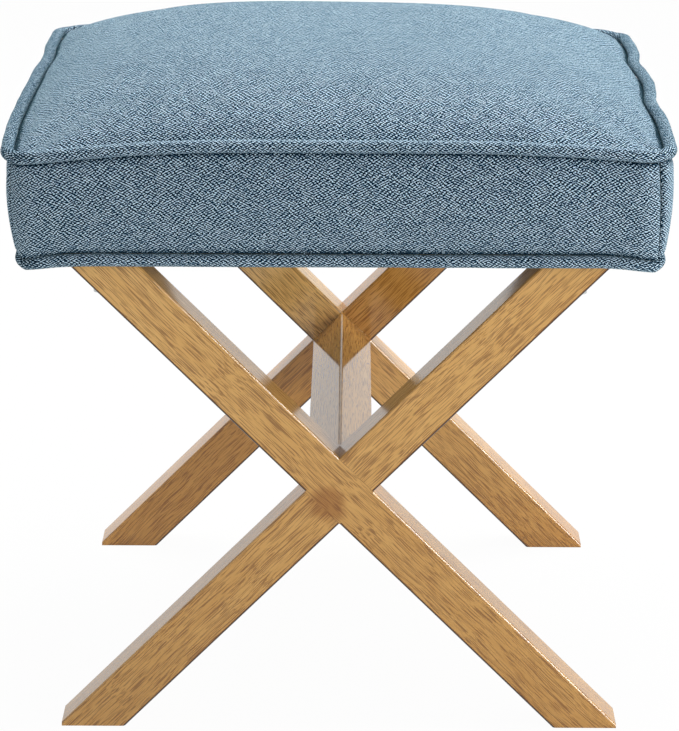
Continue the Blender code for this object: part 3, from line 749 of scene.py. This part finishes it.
def boxing_panel(place, quarter):
    """One side of the cover, its ends turned in to the corner seams."""
    steps = side_steps()
    name = "boxing_" + place + "_cover"
    height = BOXING_HEIGHT - WELT_DIAMETER
    reach = CORE_HALF + CORNER_ARC

    def point(step, share):
        turned = slipped(quarter, step, share)
        outward = perimeter(quarter, turned)[1]
        made = boxing_point(quarter, turned, share) - outward * seam_turn(quarter, turned, share)
        if abs(step) == 1:
            made += outward.cross(UP) * math.copysign(SEAM_GAP, step)
        return made

    # Painted shade in the creases along the piping and the corner seams, and painted light on the sides of
    # the box
    def painted_level(step, share):
        edge = painted_crease(min(share, 1 - share) * height, CREASE_WIDTH)
        seam = painted_crease((1 - abs(step)) * reach, SEAM_CREASE_WIDTH) * SEAM_SHARE
        outward = perimeter(quarter, slipped(quarter, step, share))[1]
        return max(edge, seam) - SIDE_LIGHT * abs(outward.x)

    rows = [[point(step, share) for step in steps] for share in BOXING_LEVELS]
    across = [lengths(row) for row in rows]
    up = [lengths(column) for column in zip(*rows)]
    flats = [[(across[r][c] + quarter, up[c][r]) for c in range(len(steps))] for r in range(len(rows))]
    mesh = cloth_mesh(name, rows, flats)
    mark_painted_light(mesh, [painted_level(step, share) for share in BOXING_LEVELS for step in steps])
    face_outwards(mesh, len(steps) // 2, perimeter(quarter, 0)[1])
    piece = add_piece(name, mesh, "tweed")
    return piece, rim_points(len(rows), len(steps)), BOXING_REACH


def plump(panels):
    """Let the padding push the panels out between their seams; no point moves past its reach."""
    scene = bpy.context.scene
    for piece, held, _ in panels:
        seams = piece.vertex_groups.new(name="seams")
        seams.add(held, 1.0, "REPLACE")
        cloth = piece.modifiers.new("padding", "CLOTH")
        cloth.point_cache.frame_start = 1
        cloth.point_cache.frame_end = SIM_FRAMES
        for name, value in SIM_CLOTH.items():
            setattr(cloth.settings, name, value)
        cloth.settings.effector_weights.gravity = 0
        cloth.collision_settings.use_collision = False
    for count in range(1, SIM_FRAMES + 1):
        scene.frame_set(count)
    view = bpy.context.evaluated_depsgraph_get()
    for piece, _, reach in panels:
        pushed = [vertex.co.copy() for vertex in piece.evaluated_get(view).data.vertices]
        piece.modifiers.clear()
        for vertex, after in zip(piece.data.vertices, pushed):
            move = after - vertex.co
            vertex.co += move * min(1.0, reach / max(move.length, GAP))
    scene.frame_set(1)


def swept_ring(name, line, profile, finish, crest_highlight=0.0):
    """A closed (out, up) profile carried round the seat. Line holds (place, outward) by turns, profile
    gives the points for a distance along it, the crest gives a painted highlight on top of the front,
    and the sides get painted shade."""
    places = [place for place, _ in line]
    along = run(places + places[:1])
    shapes = [profile(length) for length in along[:-1]]
    points = [Vector((*point, 0)) for point in shapes[0]]
    girth = run(points + points[:1])
    rows = [[place + outward * shape[k][0] + Vector((0, 0, shape[k][1]))
             for (place, outward), shape in zip(line, shapes)] for k in range(len(shapes[0]))]
    flats = [[(length, round_it) for length in along] for round_it in girth]
    mesh = cloth_mesh(name, rows, flats, ring=True, tube=True)
    shape = bmesh.new()
    shape.from_mesh(mesh)
    bmesh.ops.recalc_face_normals(shape, faces=shape.faces)
    shape.to_mesh(mesh)
    shape.free()
    # Painted shade along the sides of the piping, and a painted highlight on top of the front
    crest_lit = [max(up / math.hypot(out, up) - CREST_HIGHLIGHT_START, 0) / (1 - CREST_HIGHLIGHT_START) for out, up in shapes[0]]
    mark_painted_light(mesh, [SIDE_SHADE * abs(outward.x) - crest_highlight * share * max(-outward.y, 0) ** CREST_HIGHLIGHT_POWER
                     for share in crest_lit for _, outward in line])
    return add_piece(name, mesh, finish)


def welt_line(half, height, dip=None):
    """Centre line of the top piping, or of the bottom one where a corner dip is given."""
    line = []
    for quarter, step in around(side_steps()):
        core, outward, quarter, step = perimeter(quarter, step)
        seed = Vector((quarter * WANDER_BY_SIDE + step * WANDER_RATE, height * WANDER_BY_HEIGHT, 0))
        shake = noise.noise(seed) * TUBE_WANDER
        out = half - CORE_HALF + shake + (sway(quarter, step) if dip is None else 0)
        place = core + outward * out
        lift = top_sag(quarter, step) if dip is None else -dip * corner_dip(step, BOTTOM_DIP_START)
        place.z = height + lift + shake
        line.append((place, outward))
    return line


def welt(name, line, slit_angle, crest_highlight=0.0):
    """Piping: a cloth tube, open along its sewn side, round a three-strand filler cord."""
    sweep = 2 * math.pi - WELT_SLIT
    angles = [slit_angle + WELT_SLIT / 2 + sweep * i / WELT_SIDES for i in range(WELT_SIDES + 1)]
    inner = WELT_RADIUS - WELT_WALL
    tube = [(WELT_RADIUS * math.cos(a), WELT_RADIUS * math.sin(a)) for a in angles]
    tube += [(inner * math.cos(a), inner * math.sin(a)) for a in reversed(angles)]
    cover = swept_ring(name + "_cover", line, lambda _: tube, "tweed", crest_highlight)
    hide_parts(name)

    cord_radius = inner - 2 * GAP

    def strands(length):
        twist = length * 2 * math.pi / STRAND_PITCH
        points = []
        for i in range(CORD_SIDES):
            angle = 2 * math.pi * i / CORD_SIDES
            size = cord_radius * (1 - STRAND_DEPTH + STRAND_DEPTH * math.cos(STRANDS * angle - twist))
            points.append((size * math.cos(angle), size * math.sin(angle)))
        return points

    cord = swept_ring(name + "_filler", line, strands, "cord")
    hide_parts(name + "_cord")
    return cover, cord


def corner_stitches():
    """Short thread stitches down the four corner seams."""
    shape = bmesh.new()
    stretch = Matrix.Diagonal((1, 1, STITCH_LENGTH / STITCH_RADIUS / 2, 1))
    count = int((BOXING_HEIGHT - WELT_DIAMETER - CORNER_DIP_TOP) / STITCH_PITCH)
    for quarter in range(4):
        for i in range(1, count):
            share = i / count
            step = slipped(quarter, 1, share)
            point = boxing_point(quarter, step, share) - perimeter(quarter, step)[1] * STITCH_SINK
            bmesh.ops.create_icosphere(shape, subdivisions=2, radius=STITCH_RADIUS,
                                       matrix=Matrix.Translation(point) @ stretch)
    return add_piece("corner_stitches", as_mesh("corner_stitches", shape, smooth=True), "thread")


def padding_cap(shape, layer):
    """Crowned grid under the cover, a layer in from its face; returns its rim and the places round it."""
    steps = side_steps(PADDING_CELLS, PADDING_CORNER_CELLS)

    def corner(across, along):
        turned = max(abs(across), abs(along)) ** PADDING_EDGE_POWER * WELT_RADIUS
        return shape.verts.new(crown_point(across, along, PANEL_HALF - layer, layer + turned))

    rows = [[corner(across, along) for across in steps] for along in steps]
    for low, high in zip(rows, rows[1:]):
        for i in range(len(steps) - 1):
            shape.faces.new((low[i], low[i + 1], high[i + 1], high[i]))
    rim = rows[0][:-1] + [row[-1] for row in rows[:-1]]
    rim += list(reversed(rows[-1][1:])) + [row[0] for row in reversed(rows[1:])]
    return rim, around(steps)


def join_rings(shape, first, second):
    """Faces between two rings of points."""
    for i in range(len(first)):
        after = (i + 1) % len(first)
        shape.faces.new((first[i], first[after], second[after], second[i]))


def padding_piece(name, shape, finish):
    bmesh.ops.recalc_face_normals(shape, faces=shape.faces)
    return add_piece(name, as_mesh(name, shape, smooth=True), finish)


def seat_foam():
    """Crowned block on the deck."""
    shape = bmesh.new()
    rim, places = padding_cap(shape, FABRIC + GAP + WADDING + GAP)
    base = []
    for quarter, step in places:
        core, outward, _, _ = perimeter(quarter, step)
        point = core + outward * FRAME_CORNER_RADIUS
        base.append(shape.verts.new((point.x, point.y, FOAM_BOTTOM)))
    join_rings(shape, rim, base)
    shape.faces.new(base)
    piece = padding_piece("foam_block", shape, "foam")
    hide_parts("seat_foam")
    return piece


def wadding_wrap():
    """Polyester cap over the foam and down to the bottom piping."""
    shape = bmesh.new()
    layer = FABRIC + GAP
    rim, places = padding_cap(shape, layer)
    above = rim
    for level in range(WADDING_LEVELS, -1, -1):
        share = level / WADDING_LEVELS
        below = []
        for quarter, step in places:
            inset = layer + seam_turn(quarter, step, share, SEAM_HOLLOW)
            below.append(shape.verts.new(boxing_point(quarter, step, share, inset)))
        join_rings(shape, above, below)
        above = below
    piece = padding_piece("wadding_cap", shape, "wadding")
    face_outwards(piece.data, len(piece.data.polygons) // 4, UP)
    add_wall(piece, WADDING * WADDING_PRESSED)
    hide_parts("wadding_wrap")
    return piece


def dust_cover():
    """Black cambric stapled under the rails, sagging a little between them."""
    half = FRAME_HALF - DUST_COVER_INSET
    inside = FRAME_HALF - RAIL_WIDTH
    steps = [2 * i / DUST_COVER_CELLS - 1 for i in range(DUST_COVER_CELLS + 1)]

    def place(across, along):
        x, y = across * half, along * half
        free = max(0.0, 1 - (x / inside) ** 2) * max(0.0, 1 - (y / inside) ** 2)
        return Vector((x, y, LEG_TOP + GAP + DUST_COVER - DUST_COVER_SAG * free))

    rows = [[place(across, along) for across in steps] for along in steps]
    mesh = cloth_mesh("dust_cover_cloth", rows, [[point.xy for point in row] for row in rows])
    face_outwards(mesh, 0, UP)
    piece = add_piece("dust_cover_cloth", mesh, "cambric")
    add_wall(piece, DUST_COVER)
    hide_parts("dust_cover")
    return piece


def staples():
    """Wire staples that hold the dust cover, clear of the leg tops."""
    low = LEG_TOP + GAP - STAPLE_SUNK
    shape = bmesh.new()
    leg_room = LEG_SIDE / math.sin(LEG_ANGLE) / 2 + STAPLE_CROWN
    count = int(2 * FRAME_HALF / STAPLE_PITCH)
    for quarter in range(4):
        turn = Matrix.Rotation(quarter * math.pi / 2, 4, "Z")
        for i in range(count):
            across = (i - (count - 1) / 2) * STAPLE_PITCH
            if abs(across) > LEG_TOP_X - leg_room:
                continue
            place = turn @ Matrix.Translation((across, DUST_COVER_INSET + STAPLE_INSET - FRAME_HALF, low))
            made = bmesh.ops.create_cube(shape, size=1.0)["verts"]
            bmesh.ops.scale(shape, verts=made, vec=(STAPLE_CROWN, STAPLE_WIRE, STAPLE_WIRE))
            edges = list({edge for vertex in made for edge in vertex.link_edges})
            rounded = bmesh.ops.bevel(shape, geom=edges, offset=STAPLE_EASE, segments=2, affect="EDGES")
            made = list({vertex for face in rounded["faces"] for vertex in face.verts})
            bmesh.ops.transform(shape, verts=made, matrix=place)
    return add_piece("dust_cover_staples", as_mesh("dust_cover_staples", shape), "zinc")


# Wooden pieces


def section(side, ease):
    """Points (y, z) round a square with rounded corners."""
    middle = side / 2 - ease
    points = []
    for quarter in range(4):
        for i in range(EASE_SEGMENTS + 1):
            angle = (quarter + i / EASE_SEGMENTS) * math.pi / 2
            across = middle if quarter in (0, 3) else -middle
            up = middle if quarter < 2 else -middle
            points.append((across + ease * math.cos(angle), up + ease * math.sin(angle)))
    return points


def bar(side, length, ease=SHARP, flush=0.0):
    """A square bar along X with rounded long edges, left sharp for flush each way from the middle."""
    stations = [(-length / 2, ease), (length / 2, ease)]
    if flush:
        stations[1:1] = [(-flush, ease), (SHARP - flush, SHARP), (flush - SHARP, SHARP), (flush, ease)]
    shape = bmesh.new()
    rings = [[shape.verts.new((x, y, z)) for y, z in section(side, rounding)] for x, rounding in stations]
    for first, second in zip(rings, rings[1:]):
        join_rings(shape, first, second)
    shape.faces.new(rings[0])
    shape.faces.new(rings[-1])
    return shape


def saw(shape, point, normal):
    """Cut off what lies past a plane and close the end."""
    geometry = list(shape.verts) + list(shape.edges) + list(shape.faces)
    result = bmesh.ops.bisect_plane(shape, geom=geometry, plane_co=point, plane_no=normal,
                                    clear_outer=True)
    edges = [part for part in result["geom_cut"] if isinstance(part, bmesh.types.BMEdge)]
    bmesh.ops.edgeloop_fill(shape, edges=edges)


def placed_mesh(name, shape, matrix):
    """A shape moved to its place, as a mesh."""
    bmesh.ops.transform(shape, matrix=matrix, verts=shape.verts)
    bmesh.ops.recalc_face_normals(shape, faces=shape.faces)
    return as_mesh(name, shape)


def hole(radius, low, high, matrix):
    """A round cutter between two heights of its own axis."""
    shape = bmesh.new()
    bmesh.ops.create_cone(shape, cap_ends=True, segments=HOLE_SIDES, radius1=radius, radius2=radius,
                          depth=high - low)
    return placed_mesh("hole", shape, matrix @ Matrix.Translation(UP * (low + high) / 2))


def cut(piece, cutters):
    """Take the cutters' shapes out of a piece."""
    tools = []
    for mesh in cutters:
        tool = add_item("cutter", mesh)
        step = piece.modifiers.new("cut", "BOOLEAN")
        step.operation = "DIFFERENCE"
        step.solver = "EXACT"
        step.object = tool
        tools.append(tool)
    bake(piece)
    for tool in tools:
        bpy.data.objects.remove(tool, do_unlink=True)


def along_grain(piece, name, to_board):
    """Store each point's place in the board, from which the grain is drawn, and its tone, with painted
    shade along the lower edges."""
    tones, offset = BOARDS[name]
    mesh = piece.data
    mesh.attributes.new("grain", "FLOAT_VECTOR", "POINT")
    mesh.attributes.new("tone_and_shade", "FLOAT", "POINT")
    places, shades = mesh.attributes["grain"].data, mesh.attributes["tone_and_shade"].data
    for vertex, place, shade in zip(mesh.vertices, places, shades):
        local = to_board @ vertex.co
        place.vector = local + Vector(offset)
        share = max(0.0, min(1.0, local.x / CUT_REACH * 2 + 0.5))
        shade.value = tones[0] + (tones[1] - tones[0]) * share
        # Painted shade on the lower rounded edges
        under, beside = LEG_SIDE / 2 + local.z, LEG_SIDE / 2 - abs(local.y)
        if max(under, beside) < ARRIS_REACH and under + beside > ARRIS_REACH / 2:
            shade.value = ARRIS_SHADE_TONE
    mesh.shade_smooth()
    mesh.set_sharp_from_angle(angle=SMOOTH_UP_TO)
    flat = piece.modifiers.new("flat_faces", "WEIGHTED_NORMAL")
    flat.keep_sharp = True


def dowel_holes(stand, face, turn, low, high):
    """Cutters for the two dowels at a crossing, between two depths from a face."""
    holes = []
    for height in DOWEL_HEIGHTS:
        way = stand @ Matrix.Translation((0, face, height)) @ Matrix.Rotation(turn * math.pi / 2, 4, "X")
        holes.append(hole(DOWEL_DIAMETER / 2 + GAP, low, high, way))
    return holes


def crossed_leg(name, lean, stand):
    """One leg; lean +1 rises to the right of its frame. The leg with lean -1 passes outside, so its
    inner half is cut away at the lap, and the other's outer half."""
    lap_side = -lean
    turn = Matrix.Rotation(-lean * LEG_ANGLE, 4, "Y")
    board = Matrix.Translation((0, 0, CROSS_HEIGHT)) @ turn
    shape = bar(LEG_SIDE, CUT_REACH, LEG_EASE, LEG_SIDE / 2)
    bmesh.ops.transform(shape, matrix=board, verts=shape.verts)
    saw(shape, Vector(), -UP)
    saw(shape, UP * LEG_TOP, UP)
    saw(shape, Vector((-lean * (TOE_X - TOE_CLIP), 0, 0)), Vector((-lean, 0, 0)))
    piece = add_piece(name + "_board", placed_mesh(name + "_board", shape, stand), "oak")

    lap_turn = Matrix.Rotation(lean * LEG_ANGLE, 4, "Y")
    lap_place = Matrix.Translation((0, lap_side * (LEG_SIDE / 2 + LAP_GAP / 2), CROSS_HEIGHT)) @ lap_turn
    cutters = [placed_mesh("lap", bar(LEG_SIDE + 2 * LAP_GAP, CUT_REACH), stand @ lap_place)]
    bolt = stand @ Matrix.Translation((lean * LEG_TOP_X, 0, 0))
    cutters.append(hole(BOLT_DIAMETER / 2 + GAP, CROSS_HEIGHT, LEG_TOP + LEG_SIDE, bolt))
    cutters.append(hole(WASHER_DIAMETER / 2 + GAP, CROSS_HEIGHT, BOLT_SEAT_Z, bolt))
    if lap_side < 0:
        cutters += dowel_holes(stand, LEG_SIDE / 2, -1, -DOWEL_IN_LEG - GAP, LEG_SIDE)
    cut(piece, cutters)
    along_grain(piece, name, (stand @ board).inverted())
    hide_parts(name)
    return piece


def stretcher():
    """Square bar turned on its corner between the crossings."""
    inner_face = FRAME_Y - LEG_SIDE / 2
    board = Matrix.Translation((0, 0, CROSS_HEIGHT)) @ Matrix.Rotation(math.pi / 2, 4, "Z")
    board = board @ Matrix.Rotation(math.pi / 4, 4, "X")
    shape = bar(LEG_SIDE, 2 * (inner_face - GAP), LEG_EASE)
    piece = add_piece("stretcher_board", placed_mesh("stretcher_board", shape, board), "oak")
    cutters = []
    for end in (-1, 1):
        cutters += dowel_holes(Matrix.Identity(4), end * inner_face, end, -LEG_SIDE,
                               DOWEL_IN_STRETCHER + GAP)
    cut(piece, cutters)
    along_grain(piece, "stretcher", board.inverted())
    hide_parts("stretcher")
    return piece


# Stage


def camera():
    """The photograph's camera."""
    lens = bpy.data.cameras.new("camera")
    lens.sensor_width = SENSOR
    lens.lens = FOCAL_PIXELS * SENSOR / PHOTO_HEIGHT
    lens.clip_end = CAMERA_REACH
    item = add_item("camera", lens)
    turn = Matrix.Rotation(-CAMERA_YAW, 4, "Z") @ Matrix.Rotation(math.pi / 2 - CAMERA_PITCH, 4, "X")
    item.matrix_world = Matrix.Translation(CAMERA_PLACE) @ turn @ Matrix.Rotation(CAMERA_ROLL, 4, "Z")
    bpy.context.scene.camera = item


def seen_directly(tree, most):
    """Most for what the camera sees straight, mirrored or through glass, and 0 for other light."""
    path = add(tree, "LightPath")
    seen = add(tree, "Math", {0: path["Is Camera Ray"], 1: path["Is Glossy Ray"]}, operation="MAXIMUM")[0]
    seen = add(tree, "Math", {0: seen, 1: path["Is Transmission Ray"]}, operation="MAXIMUM")[0]
    return add(tree, "Math", {0: seen, 1: most}, operation="MULTIPLY")[0]


def studio():
    """White room and floor, a large soft light above, weaker ones at the right and in front, and
    one that only shows as shine on edges."""
    sky = bpy.data.worlds.new("white_room")
    sky.use_nodes = True
    tree = sky.node_tree
    tree.nodes.clear()
    room = add(tree, "Background", {"Color": colour("#ffffff"), "Strength": ROOM_LIGHT})[0]
    white = add(tree, "Background", {"Color": colour("#ffffff"), "Strength": 1.0})[0]
    mixed = add(tree, "MixShader", {0: seen_directly(tree, 1.0), 1: room, 2: white})[0]
    add(tree, "OutputWorld", {"Surface": mixed})
    bpy.context.scene.world = sky

    finish, tree = new_finish("white_paper_floor")
    paper = add(tree, "BsdfDiffuse", {"Color": colour("#e6e6e6")})[0]
    glow = add(tree, "Emission", {"Color": colour("#ffffff"), "Strength": 1.0})[0]
    mixed = add(tree, "MixShader", {0: seen_directly(tree, FLOOR_GLOW), 1: paper, 2: glow})[0]
    add(tree, "OutputMaterial", {"Surface": mixed})
    corners = ((-1, -1), (1, -1), (1, 1), (-1, 1))
    mesh = bpy.data.meshes.new("floor")
    mesh.from_pydata([(x * FLOOR_REACH, y * FLOOR_REACH, 0) for x, y in corners], [], [(0, 1, 2, 3)])
    mesh.materials.append(finish)
    add_item("floor", mesh)

    for name, (place, target, width, height, power) in LAMPS.items():
        lamp = bpy.data.lights.new(name, "AREA")
        lamp.shape = "RECTANGLE"
        lamp.size = width
        lamp.size_y = height
        lamp.energy = power
        item = add_item(name, lamp)
        item.location = place
        item.rotation_euler = (Vector(target) - Vector(place)).to_track_quat("-Z", "Y").to_euler()
        item.visible_diffuse = not name.startswith("edge")
    bpy.context.scene.view_settings.view_transform = "Standard"


def dress_frame_nodes():
    """Give every CAD node that stays a finish of its own material."""
    for name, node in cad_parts.items():
        for word, finish in STAYING.items():
            if word in name:
                dress(node, finish)
                break


def main():
    camera()
    studio()
    FINISHES.update(tweed=tweed_finish(), oak=oak_finish())
    for name, values in SAWN.items():
        FINISHES[name] = sawn_finish(*values)
    for name, values in EVEN.items():
        FINISHES[name] = grained_finish(*values)
    dress_frame_nodes()

    pieces = [stretcher()]
    for place, side, spin in (("front", -1, 0.0), ("rear", 1, math.pi)):
        stand = Matrix.Translation((0, side * FRAME_Y, 0)) @ Matrix.Rotation(spin, 4, "Z")
        for lap, lean in (("outer", -1), ("inner", 1)):
            pieces.append(crossed_leg(place + "_leg_" + lap + "_lap", lean, stand))

    panels = [top_panel()]
    names = ("front", "right", "rear", "left")
    for quarter, place in enumerate(names):
        panels.append(boxing_panel(place, quarter))
    plump(panels)
    covers = [piece for piece, _, _ in panels]
    for piece in covers:
        thicken(piece)

    top_line = welt_line(TOP_WELT_HALF, TOP_WELT_Z)
    bottom_line = welt_line(BOTTOM_WELT_HALF, BOTTOM_WELT_Z, CORNER_DIP_BOTTOM)
    top_welt, top_cord = welt("top_welt", top_line, TOP_SLIT_ANGLE, CREST_HIGHLIGHT)
    bottom_welt, bottom_cord = welt("bottom_welt", bottom_line, BOTTOM_SLIT_ANGLE)
    stitches = corner_stitches()

    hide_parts("top_panel")
    for place, piece in zip(names, covers[1:]):
        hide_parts("boxing_" + place)

    pieces += covers + [top_welt, top_cord, bottom_welt, bottom_cord, stitches]
    pieces += [seat_foam(), wadding_wrap(), dust_cover(), staples()]
    for piece in pieces:
        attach(piece, "root")


main()
